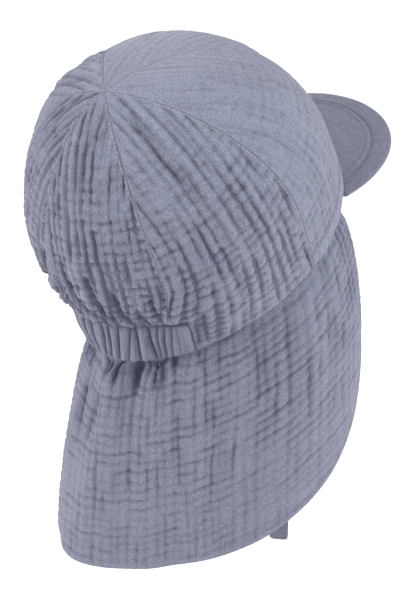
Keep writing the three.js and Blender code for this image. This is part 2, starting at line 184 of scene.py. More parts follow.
# Slow waves of the hem: angle and width in degrees, reach in millimetres.
HEM_WAVES = np.array([
    (148, 12, 0.5),
    (180, 12, 5.9),
    (204, 10, 6.3),
    (211, 4, 1.2),
    (214, 6, 2.4),
    (240, 14, -3),
])

# Grooves between the casing's gathers: angle at its top and at its foot in
# degrees, and depth as a share. The list goes from one end to the centre back.
CASING_GROOVES = (
    (124.2, 130, 0.35),
    (126.8, 134.5, 0.7),
    (130.5, 138, 0.8),
    (134.8, 141, 0.85),
    (140, 143.4, 1.25),
    (147.2, 151.5, 1),
    (149.8, 158, 0.75),
    (155.8, 163, 1),
    (161.5, 167, 0.9),
    (165.2, 170.8, 0.95),
    (172, 175.5, 1),
    (178.5, 180.5, 0.9),
)

# Folds of the crown just above the casing. Each has a depth, a width and its
# spots, as angle in degrees and height above the casing's foot.
NAPE_FOLDS = (
    (2.6, 1.7, ((155.5, 59), (155, 54), (154, 49), (151.5, 43), (144, 42.5))),
    (3.4, 1.9, ((171, 58), (167.5, 52), (165, 49.5), (160, 44), (156, 41), (153, 33))),
    (3.0, 1.7, ((145.5, 57), (145, 54), (144.5, 47), (143.5, 42), (142, 33))),
    (2.2, 1.5, ((129.5, 56), (129, 51), (128.5, 43), (129, 33))),
    (2.6, 1.6, ((137, 47), (135.5, 42), (135.5, 33))),
    (2.4, 1.5, ((149.5, 41), (150, 36), (148.5, 30))),
    (2.6, 1.7, ((176, 52), (172, 44), (168, 38), (166, 31))),
    (2.4, 1.7, ((181, 46), (178, 39), (176, 31))),
    (2.0, 1.5, ((160.5, 38), (160, 34), (159, 30))),
    (1.8, 1.4, ((139.8, 40), (139.5, 35), (139.5, 30))),
    (1.1, 1.2, ((123, 58), (123.5, 46), (124, 31))),
    (2.4, 1.3, ((109.5, 34), (110.5, 27), (112, 14), (113.8, 1))),
    (1.5, 1.0, ((114.2, 30), (115.2, 25), (116.5, 14), (118.2, 2))),
)

# Long hollows of the crown, with spots as angle in degrees and place on the shell.
CROWN_HOLLOWS = (
    (1.5, 2.2, ((85, 0.154), (94, 0.243), (94.5, 0.323), (95.5, 0.427),
                (94, 0.486), (92.5, 0.541), (91.5, 0.64))),
    (1.1, 2.0, ((66, 0.263), (72.5, 0.323), (76, 0.427), (79, 0.516), (79.5, 0.611), (79, 0.685))),
    (1.5, 2.2, ((125, 0.099), (140, 0.199), (146, 0.258), (152, 0.308), (152.5, 0.348), (151.5, 0.491))),
    (1.0, 1.8, ((122.5, 0.204), (135.5, 0.248), (138.5, 0.318))),
    (0.9, 2.2, ((28, 0.3), (31, 0.45), (30, 0.62))),
)

# Folds of the flap under the casing, with spots as angle in degrees and drop
# below the casing's foot.
FLAP_FOLDS = (
    (2.2, 1.9, ((173.2, 1), (171, 6), (172, 16))),
    (1.1, 2.4, ((173.5, 24), (174.6, 42), (176.8, 62))),
    (2.2, 1.8, ((161.6, 1), (162.4, 5), (164.2, 17))),
    (2.2, 1.8, ((153, 0), (154.8, 11), (155.2, 25))),
    (2.2, 2.2, ((143.3, 1), (144, 6), (144.7, 22))),
    (1.8, 1.8, ((138.6, 1), (139.3, 12), (140.8, 23))),
    (0.9, 2.4, ((120.2, 3), (119.2, 9.5), (114.5, 19))),
    (1.4, 1.6, ((133, 1), (133.5, 7), (134.5, 13))),
    (1.4, 1.6, ((148.5, 1), (149, 6), (149, 12))),
    (1.4, 1.6, ((167.5, 1), (167.5, 6), (168.5, 13))),
)

# How strongly each crown panel is crinkled, from the front right one round.
PANEL_NAMES = ("front_right", "side_right", "back_right", "back_left", "side_left", "front_left")
PANEL_CRINKLE = (0.42, 1.12, 1.3, 1.3, 1.12, 0.42)
LOWER_RIBS = 1.45  # how much deeper the creases are near the lower edge
PANEL_CELLS = (0.9, 0.75, 0.85, 0.85, 0.75, 0.9)  # how clearly their ribs are parted into cells
PANEL_RIBS = ((3.2, 5.6), (4.4, 7.2), (3.6, 5.8), (3.6, 5.8), (4.4, 7.2), (3.2, 5.6))  # least and most gap

# Stitches
STITCH_PITCH = 2.6
STITCH_SIZE = (0.8, 0.26, 0.28)  # half its length, width and height
SEAM_STITCH_INSET = 1.3


# Helpers for shapes

def smooth_step(start, end, value):
    share = np.clip((value - start) / (end - start), 0, 1)
    return share * share * (3 - 2 * share)


def bell(distance, width):
    return np.exp(-((distance / width) ** 2))


def mix(first, second, share):
    return first + (second - first) * share


def ring(sizes, angle, hollow=0.0):
    """A smooth ring of values through a front, a side and a back value."""
    front, side, back = sizes
    around = np.cos(angle)
    level = (front + 2 * side + back) / 4
    lean = (front - back) / 2
    oval = (front - 2 * side + back) / 4
    return level + lean * around + oval * np.cos(2 * angle) + 2 * hollow * np.sin(angle) ** 2 * around


def leaning(side, forward, up):
    """A point of the leaning crown, from its side, forward and up distances."""
    y = up * math.sin(CROWN_TILT) - forward * math.cos(CROWN_TILT)
    z = up * math.cos(CROWN_TILT) + forward * math.sin(CROWN_TILT)
    return np.stack(np.broadcast_arrays(side, y, z), axis=-1)


def unit_grid(across, down):
    """Shares from 0 to 1 across and down a grid with a count of steps both ways."""
    return np.meshgrid(np.linspace(0, 1, across + 1), np.linspace(0, 1, down + 1))


def from_front(angle):
    turned = np.mod(angle, 2 * math.pi)
    return np.minimum(turned, 2 * math.pi - turned)


def step_round(start, full, angle):
    """A smooth step between two numbers of degrees from the front, alike on both sides."""
    return smooth_step(start * DEGREES, full * DEGREES, from_front(angle))


def skirt_height(angle):
    return ring(SKIRT_HEIGHT, angle, -SKIRT_HOLLOW)


def place_above(angle, height):
    """The place on the shell a given height above the crown's lower edge."""
    return 2 - height / skirt_height(angle)


def rim_reach(angle):
    """Reach of the crown's lower edge, with the elastic's draw at the nape."""
    return ring(RIM_REACH, angle, RIM_HOLLOW) - CASING_DRAW * pull_at(angle)


def pull_at(angle):
    return step_round(DRAW_START, DRAW_END, angle)


def skirt_reach(angle, lower):
    """Reach below the widest line. Where the elastic pulls, the cloth turns in
    to the casing, which stands upright."""
    widest, rim, height = ring(CROWN_REACH, angle), rim_reach(angle), skirt_height(angle)
    above = height * (1 - lower)
    plain = widest - (widest - rim) * lower ** SKIRT_POWER
    fallen = np.clip(lower * height / np.maximum(height - CASING_HEIGHT, 1), 0, 1)
    over_casing = widest - (widest - rim + CASING_LEAN) * fallen ** NAPE_POWER
    casing = rim - CASING_LEAN * above / CASING_HEIGHT
    drawn = np.where(above > CASING_HEIGHT, over_casing, casing)
    return mix(plain, drawn, pull_at(angle))


def shell_point(angle, place):
    """The crown's outer face: place 0 is the top, 1 the widest line, 2 the lower edge."""
    widest_drop = ring(WIDEST_DROP, angle) + CLOTH_WALL
    power = 2 / ring(DOME_POWER, angle)
    upper = np.clip(place, 0, 1) * (math.pi / 2)
    lower = np.maximum(place - 1, 0)
    dome_reach = ring(CROWN_REACH, angle) * np.sin(upper) ** power
    dome_drop = widest_drop * (1 - np.abs(np.cos(upper)) ** power)
    reach = np.where(place <= 1, dome_reach, skirt_reach(angle, lower))
    drop = np.where(place <= 1, dome_drop, widest_drop + skirt_height(angle) * lower)
    return leaning(-np.sin(angle) * reach, np.cos(angle) * reach, CLOTH_WALL - drop)


def pulled_round(angle, place):
    """Where the elastic pulls a point of the cloth, as its angle and place."""
    height = (2 - place) * skirt_height(angle)
    near = step_round(PULL_START, PULL_FULL, angle) * step_round(180, PULL_BACK, angle)
    turn = SEAM_PULL * smooth_step(PULL_HEIGHT, CASING_HEIGHT, height)
    further = FOOT_PULL * np.maximum(0, 1 - height / CASING_HEIGHT)
    moved = angle + np.sign(math.pi - angle) * near * (turn + further)
    return moved, place_above(moved, height)


def shell_outward(angle, place):
    step = 1e-3
    place = np.clip(place, 0.02, 1.99)
    across = shell_point(angle + step, place) - shell_point(angle - step, place)
    along = shell_point(angle, place + step) - shell_point(angle, place - step)
    return unit(np.cross(across, along))


def unit(vectors):
    return vectors / np.maximum(np.linalg.norm(vectors, axis=-1, keepdims=True), 1e-9)


def grid_outward(points, away_from):
    """Normals of a grid of points, on the side that faces away from a point."""
    normals = unit(np.cross(np.gradient(points, axis=0), np.gradient(points, axis=1)))
    facing = np.sum(normals * (points - away_from), axis=-1, keepdims=True)
    return normals * np.sign(np.median(facing))


def lengths_down(points):
    """Distance of each grid point from the first row, along its column."""
    steps = np.linalg.norm(np.diff(points, axis=0), axis=-1)
    return np.vstack([np.zeros((1, points.shape[1])), np.cumsum(steps, axis=0)])


# Helpers for crinkled cloth

LATTICE = (97, 89)  # random values before they repeat
SPOT_STEPS = 6  # between two spots of a fold


def noise(seed, across, along):
    """Smooth random values from -1 to 1, with one lattice cell for each unit."""
    lattice = np.random.default_rng(seed).uniform(-1, 1, LATTICE)
    across, along = np.broadcast_arrays(across, along)
    column, row = np.floor(across).astype(int), np.floor(along).astype(int)
    x, y = across - column, along - row
    x, y = x * x * (3 - 2 * x), y * y * (3 - 2 * y)
    corner = lambda dx, dy: lattice[(column + dx) % LATTICE[0], (row + dy) % LATTICE[1]]
    return mix(mix(corner(0, 0), corner(1, 0), x), mix(corner(0, 1), corner(1, 1), x), y)


def creases(seed, across, along, gaps, width, wander, patch, least=0.15, tick=0.0, usual=0.62):
    """How deep, from 0 to about 1, a family of creases lies at each point. They run
    along the cloth at uneven gaps, wander, and fade in and out over a patch length.
    Each has a sharp bottom and soft sides, so that the cloth between them is puffy."""
    random = np.random.default_rng(seed)
    count = int((across.max() - across.min()) / gaps[0]) + 2
    places = across.min() - gaps[1] * random.uniform() + np.cumsum(random.uniform(*gaps, count))
    total = np.zeros_like(across)
    for number, place in enumerate(places[places < across.max() + gaps[1]]):
        near = np.abs(across - place) < 6 * width + 2 * wander
        if not near.any():
            continue
        here, down = across[near], along[near]
        line = place + wander * noise(seed + 1, down / (2.2 * patch), number * 0.61)
        line = line + 0.3 * wander * noise(seed + 2, down / (0.5 * patch), number * 3.7)
        strength = usual + 0.7 * noise(seed + 3, down / patch, number * 5.3)
        strength = np.clip(strength, least, 1.25) + tick * noise(seed + 4, down / 2.6, number * 7.1)
        away = np.abs(here - line) / width
        total[near] += strength * (0.5 * np.exp(-away) + 0.5 * np.exp(-((away / 2.2) ** 2)))
    return total


def crinkle(seed, across, along, gaps, fine=0.3, level=0.4, level_patch=5.0,
            tick=0.35, least=0.3, usual=0.75):
    """Depth of double gauze's creases: long ones along the cloth, deeper in short
    ticks, weaker fine ones between them, and short ones that part the ribs into cells."""
    swing = 1.4 * noise(seed + 10, across / 26, along / 44)
    swing = swing + 0.3 * noise(seed + 11, across / 3, along / 3.4)
    long_ones = creases(seed + 20, across + swing, along, gaps, 0.75, 0.8, 16, least, tick, usual)
    fine_ones = creases(seed + 30, across + swing, along, (2.8, 5.4), 0.55, 0.7, 3.4, least=-0.1)
    level_line = along + 1.0 * noise(seed + 40, across / 9, along / 16)
    level_line = level_line + 0.4 * noise(seed + 41, across / 2.6, along / 5)
    short_ones = creases(seed + 50, level_line, across, (4.6, 7.0), 0.6, 0.5, level_patch, least=-0.1)
    return np.maximum(long_ones, 0) + fine * np.maximum(fine_ones, 0) + level * np.maximum(short_ones, 0)


def curve_through(spots):
    """A smooth line through a few chosen spots, with steps between each two."""
    spots = np.asarray(spots, float)
    ends = np.vstack([2 * spots[0] - spots[1], spots, 2 * spots[-1] - spots[-2]])
    share = np.linspace(0, 1, SPOT_STEPS, endpoint=False)[:, None]
    parts = []
    for a, b, c, d in zip(ends[:-3], ends[1:-2], ends[2:-1], ends[3:]):
        bend = (2 * a - 5 * b + 4 * c - d) * share ** 2 + (3 * b - a - 3 * c + d) * share ** 3
        parts.append(0.5 * (2 * b + (c - a) * share + bend))
    return np.vstack([*parts, spots[-1:]])


def beside_line(points, line):
    """Distance of each point from a line of points, and the share of it that lies behind."""
    nearest = np.full(points.shape[:-1], np.inf)
    behind = np.zeros(points.shape[:-1])
    lengths = np.linalg.norm(np.diff(line, axis=0), axis=-1)
    run = np.concatenate([[0], np.cumsum(lengths)])
    for number, length in enumerate(lengths):
        start, way = line[number], line[number + 1] - line[number]
        share = np.clip((points - start) @ way / length ** 2, 0, 1)
        distance = np.linalg.norm(points - start - share[..., None] * way, axis=-1)
        closer = distance < nearest
        nearest = np.where(closer, distance, nearest)
        behind = np.where(closer, run[number] + share * length, behind)
    return nearest, behind / run[-1]


def pressed(points, folds, surface, fade_in=0.2, fade_out=0.35):
    """How deep a list of folds presses in at each point, on both sides of the cap.
    Surface gives the point of a spot from its angle and its height, place or drop."""
    total = np.zeros(points.shape[:-1])
    for depth, width, spots in folds:
        chosen = curve_through(spots)
        for mirror in (False, True):
            angle = chosen[:, 0] * DEGREES
            line = surface(2 * math.pi - angle - 3 * DEGREES if mirror else angle, chosen[:, 1])
            distance, share = beside_line(points, line)
            strength = smooth_step(-0.1, fade_in, share) * smooth_step(1.1, 1 - fade_out, share)
            away = distance / width
            total += depth * strength * (0.45 * np.exp(-1.6 * away) + 0.55 * np.exp(-(away ** 2)))
    return total


# Helpers for meshes and materials

def put_in_scene(name, data):
    made = bpy.data.objects.new(name, data)
    bpy.context.scene.collection.objects.link(made)
    return made


def new_material(name):
    material = bpy.data.materials.new(name)
    material.use_nodes = True
    tree = material.node_tree
    return material, tree.nodes, tree.links, tree.nodes["Principled BSDF"]


def set_inputs(node, values):
    for key, value in values.items():
        node.inputs[key].default_value = value


def add_object(name, points, faces, material):
    """Makes a piece from points in millimetres and faces of three or four corners."""
    mesh = bpy.data.meshes.new(name)
    sizes = np.concatenate([np.full(len(block), block.shape[1]) for block in faces])
    loops = np.concatenate([block.ravel() for block in faces])
    mesh.vertices.add(len(points))
    mesh.vertices.foreach_set("co", (points * MM).astype(np.float32).ravel())
    mesh.loops.add(len(loops))
    mesh.loops.foreach_set("vertex_index", loops.astype(np.int32))
    mesh.polygons.add(len(sizes))
    mesh.polygons.foreach_set("loop_start", (np.cumsum(sizes) - sizes).astype(np.int32))
    mesh.update(calc_edges=True)
    mesh.validate()
    mesh.polygons.foreach_set("use_smooth", np.ones(len(mesh.polygons), bool))
    mesh.materials.append(material)
    made = put_in_scene(name, mesh)
    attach(made, "root")
    return made


def add_values(made, name, values):
    """Keeps a number, or three, for each point of a piece, for its material to read."""
    values = np.asarray(values, np.float32)
    form, key = ("FLOAT", "value") if values.ndim == 1 else ("FLOAT_VECTOR", "vector")
    made.data.attributes.new(name, form, "POINT").data.foreach_set(key, values.ravel())


def grid_faces(first, rows, columns, flip):
    index = first + np.arange(rows * columns).reshape(rows, columns)
    corners = [index[:-1, :-1], index[:-1, 1:], index[1:, 1:], index[1:, :-1]]
    faces = np.stack([corner.ravel() for corner in corners], axis=1)
    return faces[:, ::-1] if flip else faces


def bridge(fine, coarse, every):
    """Triangles between a fine line of points and a coarse one, both listed the same way."""
    made = []
    for number in range(len(coarse) - 1):
        start = number * every
        half = start + every // 2
        for step in range(start, start + every):
            near = coarse[number] if step < half else coarse[number + 1]
            made.append((fine[step], fine[step + 1], near))
        made.append((fine[half], coarse[number + 1], coarse[number]))
    return np.array(made)


def closed_sheet(name, outer, inner, every, material, across, along, depth):
    """A closed wall: a fine outer grid, and an inner grid that keeps every so many of
    its rows and columns. Across and along are places on the flat cloth, depth the
    painted shade of its creases, folds, grooves and seams for the material to darken."""
    rows, columns = outer.shape[:2]
    inner_rows, inner_columns = inner.shape[:2]
    fine = np.arange(rows * columns).reshape(rows, columns)
    coarse = fine.size + np.arange(inner_rows * inner_columns).reshape(inner_rows, inner_columns)
    points = np.vstack([outer.reshape(-1, 3), inner.reshape(-1, 3)])
    quads = np.vstack([
        grid_faces(0, rows, columns, False),
        grid_faces(fine.size, inner_rows, inner_columns, True),
    ])
    borders = np.vstack([
        bridge(fine[0, ::-1], coarse[0, ::-1], every),
        bridge(fine[-1], coarse[-1], every),
        bridge(fine[:, 0], coarse[:, 0], every),
        bridge(fine[::-1, -1], coarse[::-1, -1], every),
    ])
    volume = 0
    for half in ([0, 1, 2], [0, 2, 3]):
        corners = points[quads[:, half]]
        volume += np.sum(corners[:, 0] * np.cross(corners[:, 1], corners[:, 2]))
    if volume < 0:
        quads, borders = quads[:, ::-1], borders[:, ::-1]
    made = add_object(name, points, [quads, borders], material)
    both = lambda grid: np.concatenate([grid.ravel(), grid[::every, ::every].ravel()])
    places = np.stack([both(across), both(along), np.zeros(len(points))], axis=-1)
    add_values(made, "cloth", places)
    # Painted shade, kept for each point for the material to darken its colour.
    add_values(made, "painted_shade", both(depth))
    return made


def rounded(distance, radius=CLOTH_WALL / 2):
    """How far a wall's face turns in towards its middle near an edge."""
    inside = np.clip(1 - distance / radius, 0, 1)
    return radius * (1 - np.sqrt(1 - inside ** 2))


def points_from_edge(grid, distance, last=False):
    """The line on a grid that lies a distance in from its first or last column."""
    if last:
        grid = grid[:, ::-1]
    run = lengths_down(np.swapaxes(grid, 0, 1)).T
    line = np.empty((len(grid), 3))
    for axis in range(3):
        line[:, axis] = [np.interp(distance, run[row], grid[row, :, axis]) for row in range(len(grid))]
    return line


# Stitches

def even_line(points, normals, pitch):
    """Points, directions and normals at an even pitch along a line."""
    run = np.concatenate([[0], np.cumsum(np.linalg.norm(np.diff(points, axis=0), axis=-1))])
    at = np.arange(pitch / 2, run[-1], pitch)
    even = np.stack([np.interp(at, run, points[:, axis]) for axis in range(3)], axis=-1)
    up = np.stack([np.interp(at, run, normals[:, axis]) for axis in range(3)], axis=-1)
    return even, unit(np.gradient(even, axis=0)), unit(up)


def stitch_form():
    """Points and faces of one stitch: a short bead with six sides and pointed ends."""
    sides, rings = 6, ((-0.6, 0.8), (0.6, 0.8))
    turns = np.arange(sides) * 2 * math.pi / sides
    points = [(-1, 0, 0)]
    for at, radius in rings:
        points += [(at, radius * math.cos(turn), radius * math.sin(turn)) for turn in turns]
    points.append((1, 0, 0))
    faces = []
    for side in range(sides):
        after = (side + 1) % sides
        faces.append((0, 1 + after, 1 + side))
        faces.append((1 + side, 1 + after, 1 + sides + after))
        faces.append((1 + side, 1 + sides + after, 1 + sides + side))
        faces.append((1 + sides + side, 1 + sides + after, 1 + 2 * sides))
    return np.array(points), np.array(faces)


def add_stitches(name, line, normals, thread):
    """A row of small stitches sunk halfway into the cloth along a line."""
    spots, ways, ups = even_line(line, normals, STITCH_PITCH)
    form, faces = stitch_form()
    beside = np.cross(ways, ups)
    length, width, height = STITCH_SIZE
    points = (spots[:, None] + form[None, :, :1] * length * ways[:, None]
              + form[None, :, 1:2] * width * beside[:, None]
              + (form[None, :, 2:] * height + 0.05) * ups[:, None])
    every = np.arange(len(spots))[:, None, None] * len(form)
    return add_object(name, points.reshape(-1, 3), [(faces[None] + every).reshape(-1, 3)], thread)


# Materials

THREAD_PITCH = 0.62


def muslin(name, colour, weave=0.5, painted_shade_strength=0.55):
    """Matt cotton whose thread and heather show, and whose colour is darkened by painted shade in creases,
    folds, grooves and seams.
    """
    material, nodes, links, shader = new_material(name)
    set_inputs(shader, {"Roughness": 0.92, "Sheen Weight": 0.25, "Sheen Roughness": 0.45,
                        "Specular IOR Level": 0.15})

    def node(kind, **settings):
        made = nodes.new(kind)
        for key, value in settings.items():
            setattr(made, key, value)
        return made

    def maths(operation, first, second):
        made = node("ShaderNodeMath", operation=operation)
        for socket, value in zip(made.inputs, (first, second)):
            if isinstance(value, (int, float)):
                socket.default_value = value
            else:
                links.new(value, socket)
        return made.outputs[0]

    place = node("ShaderNodeAttribute", attribute_name="cloth").outputs["Vector"]
    painted_shade = node("ShaderNodeAttribute", attribute_name="painted_shade").outputs["Fac"]

    def cloud(scale, detail):
        made = node("ShaderNodeTexNoise")
        set_inputs(made, {"Scale": scale, "Detail": detail})
        links.new(node("ShaderNodeNewGeometry").outputs["Position"], made.inputs["Vector"])
        return made.outputs["Fac"]

    def tint(factor, into, amount, shade):
        made = node("ShaderNodeMix", data_type="RGBA", blend_type="MULTIPLY")
        links.new(maths("MULTIPLY", factor, amount), made.inputs["Factor"])
        if isinstance(into, tuple):
            made.inputs[6].default_value = into
        else:
            links.new(into, made.inputs[6])
        made.inputs[7].default_value = shade
        return made.outputs[2]

    def grain(scale, detail):
        """A cloud with its middle values spread from 0 to 1."""
        made = node("ShaderNodeMapRange")
        set_inputs(made, {"From Min": 0.36, "From Max": 0.64})
        links.new(cloud(scale, detail), made.inputs["Value"])
        return made.outputs["Result"]

    base = (*colour, 1.0)
    # Painted shade: the colour darkens towards this grey by the shade each piece keeps for its creases,
    # folds, grooves and seams.
    painted_shade_colour = (0.40, 0.41, 0.45, 1.0)
    looks = tint(maths("MINIMUM", painted_shade, 1.7), base, painted_shade_strength, painted_shade_colour)
    for clouded, amount, shade in (
        (grain(1200, 2.0), 0.68, (0.50, 0.51, 0.55, 1.0)),
        (grain(330, 4.0), 0.20, (0.68, 0.69, 0.72, 1.0)),
        (cloud(45, 3.0), 0.22, (0.84, 0.84, 0.88, 1.0)),
    ):
        looks = tint(clouded, looks, amount, shade)
    links.new(looks, shader.inputs["Base Color"])

    split = node("ShaderNodeSeparateXYZ")
    links.new(place, split.inputs[0])
    thread = 2 * math.pi / THREAD_PITCH
    warp = maths("SINE", maths("MULTIPLY", split.outputs[0], thread), 0)
    weft = maths("SINE", maths("MULTIPLY", split.outputs[1], thread), 0)
    woven = maths("MULTIPLY", maths("MULTIPLY", warp, weft), weave)
    fuzz = maths("MULTIPLY", cloud(2600, 3.0), 1.2)
    height = node("ShaderNodeBump")
    set_inputs(height, {"Strength": 0.6, "Distance": 0.00012})
    links.new(maths("ADD", woven, fuzz), height.inputs["Height"])
    links.new(height.outputs[0], shader.inputs["Normal"])
    return material


def thread_material(name, colour):
    """Sewing thread, a little shinier than the cloth."""
    material, nodes, links, shader = new_material(name)
    set_inputs(shader, {"Roughness": 0.6, "Sheen Weight": 0.1})
    cloud = nodes.new("ShaderNodeTexNoise")
    cloud.inputs["Scale"].default_value = 900
    links.new(nodes.new("ShaderNodeNewGeometry").outputs["Position"], cloud.inputs["Vector"])
    blend = nodes.new("ShaderNodeMix")
    blend.data_type = "RGBA"
    set_inputs(blend, {6: (*[0.75 * part for part in colour], 1.0), 7: (*colour, 1.0)})
    links.new(cloud.outputs["Fac"], blend.inputs["Factor"])
    links.new(blend.outputs[2], shader.inputs["Base Color"])
    return material


CROWN_COLOUR = (0.276, 0.289, 0.374)
PEAK_COLOUR = (0.198, 0.207, 0.268)
crown_cloth = muslin("crown_muslin", CROWN_COLOUR)
casing_cloth = muslin("casing_muslin", (0.257, 0.267, 0.354))
flap_cloth = muslin("flap_muslin", CROWN_COLOUR)
peak_cloth = muslin("peak_cotton", PEAK_COLOUR, painted_shade_strength=0.5)
tie_cloth = muslin("tie_tape", (0.235, 0.246, 0.305), weave=0.9, painted_shade_strength=0.3)
seam_thread = thread_material("seam_thread", (0.36, 0.375, 0.46))
hem_thread = thread_material("hem_thread", (0.25, 0.262, 0.335))


# Crown

def crown_relief(angle, place, share):
    """How far the crown's cloth stands out from the plain shell."""
    above = (place_above(angle, CASING_HEIGHT) - place) * skirt_height(angle)
    belly = bell(above - BLOUSE_HEIGHT / 2, BLOUSE_HEIGHT / 2) * BLOUSE_REACH
    puff = PANEL_PUFF * (np.sin(math.pi * share) - SEAM_PINCH)
    front = step_round(75, 40, angle)
    puff = puff + FRONT_PUFF * front * smooth_step(0.4, 0.75, place)
    puff = puff * smooth_step(0, 0.5, place) * smooth_step(2, 1.4, place)
    over_casing = step_round(BLOUSE_START, BLOUSE_FULL, angle)
    at_back = step_round(145, 165, angle)
    sag = NAPE_SAG * at_back * bell(above - 1.4 * BLOUSE_HEIGHT, 0.6 * BLOUSE_HEIGHT)
    return puff + sag + over_casing * smooth_step(0, BLOUSE_TURN, above) * belly


def tip_place(angle):
    power = ring(DOME_POWER, angle) / 2
    return np.arcsin((TIP_RADIUS / ring(CROWN_REACH, angle)) ** power) / (math.pi / 2)


def panel_place(angle, down):
    """Rows run level to the blouse, and the last ones share what is left below it."""
    level = 2 - (CASING_HEIGHT + BLOUSE_TURN) / SKIRT_HEIGHT[2]
    beside = from_front(angle)
    lift = smooth_step(CASING_END - CASING_NOTCH, CASING_END + CASING_NOTCH, beside)
    end = place_above(angle, lift * (CASING_HEIGHT + SEAM_GAP))
    tip = tip_place(angle)
    upper_rows = 0.8
    upper = tip + (level - tip) * (np.minimum(down, upper_rows) / upper_rows) ** 1.1
    lower = level + (end - level) * (down - upper_rows) / (1 - upper_rows)
    return np.where(down <= upper_rows, upper, lower)


def height_point(angle, height):
    return shell_point(angle, place_above(angle, height))


def crown_panel(number):
    """One of the six panels, crinkled, with its seam borders pinched. It gives the
    lines of its two seams, and what the stitches along its lower edge need."""
    start = number * 2 * math.pi / PANEL_COUNT
    width = 2 * math.pi / PANEL_COUNT
    share, down = unit_grid(PANEL_STEPS, PANEL_STEPS)
    sewn = start + width * share
    angle, place = pulled_round(sewn, panel_place(sewn, down))
    plain = shell_point(angle, place)
    outward = shell_outward(angle, place)
    base = plain + outward * crown_relief(angle, place, share)[..., None]
    forward = plain[..., 2] * math.sin(CROWN_TILT) - plain[..., 1] * math.cos(CROWN_TILT)
    reach = np.hypot(plain[..., 0], forward)
    across = (share - 0.5) * width * reach
    along = lengths_down(base)
    to_seam = np.minimum(share, 1 - share) * width * reach
    to_end = along[-1:] - along
    strength = PANEL_CRINKLE[number] * mix(1, LOWER_RIBS, smooth_step(60, 115, along))
    beside_peak = step_round(BAND_END, BAND_END - BAND_FADE, sewn)
    in_band = smooth_step(BAND_HEIGHT + 1, BAND_HEIGHT - 1, to_end) * beside_peak
    cells = PANEL_CELLS[number] * smooth_step(15, 70, along)
    depth = crinkle(100 * (number + 1), across, along, PANEL_RIBS[number], level=cells) * strength
    depth = depth * (1 - 0.55 * in_band)
    rumple = noise(100 * number + 7, across / 10, along / 34) * CROWN_RUMPLE * PANEL_CRINKLE[number]
    hollow = pressed(plain, CROWN_HOLLOWS, shell_point)
    folds = pressed(plain, NAPE_FOLDS, height_point)
    held = smooth_step(0.1, 1.8, to_seam)
    pinch = 0.5 * np.exp(-to_seam / 0.45)
    band_line = BAND_GROOVE * np.exp(-np.abs(to_end - BAND_HEIGHT) / 0.9) * beside_peak
    pressed_in = hollow + folds + pinch + band_line
    relief = held * (rumple - CROWN_CREASE * depth) - pressed_in - rounded(to_end) + BAND_STEP * in_band
    outer = base + outward * relief[..., None]
    inner = (base - outward * (CLOTH_WALL + pressed_in - rounded(to_end))[..., None])[::4, ::4]
    # Painted shade for the material: darker in the creases, along the pinched seams, in the folds and
    # hollows and along the band's groove.
    shade = held * depth + 0.7 * np.exp(-to_seam / 0.35) + 0.6 * folds + 0.4 * hollow + 0.6 * band_line
    name = "crinkled_panel_" + PANEL_NAMES[number]
    made = closed_sheet(name, outer, inner, 4, crown_cloth, across, along, shade)
    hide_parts("crown_panel_" + PANEL_NAMES[number])
    seams = [(points_from_edge(outer, SEAM_STITCH_INSET, side), outward[:, column])
             for side, column in ((False, 6), (True, -7))]
    return seams, (outer, outward, to_end, sewn)


# Casing

def casing_groove_lines(down):
    """Angle and depth of every groove, at each height on the casing, right side first."""
    lines = []
    for top, foot, depth in CASING_GROOVES:
        lines.append((mix(top, foot, down), depth))
    for top, foot, depth in reversed(CASING_GROOVES):
        lines.append((360 - mix(top, foot, down) - 1.5, 0.95 * depth))
    return lines


def casing_folds(angle, down):
    """Height of the gathers, from 0 in a deep groove to 1 on a ridge, with flat ends."""
    around = angle / DEGREES + 0.5 * noise(61, angle * 12, down * 2.2)
    lines = casing_groove_lines(down)
    height = np.full_like(angle, 0.3)
    for (left, left_depth), (right, right_depth) in zip(lines[:-1], lines[1:]):
        share = np.clip((around - left) / (right - left), 0, 1)
        ridge = np.sin(math.pi * share) ** 0.65 * np.minimum((right - left) / 6.5, 1.15)
        floor = 1 - mix(left_depth, right_depth, share)
        height = np.where((around >= left) & (around <= right), 0.3 + floor * 0.3 + 0.62 * ridge, height)
    groove = np.zeros_like(angle)
    for line, depth in lines:
        groove = groove + depth * np.exp(-np.abs(around - line) / 0.9)
    return height, groove


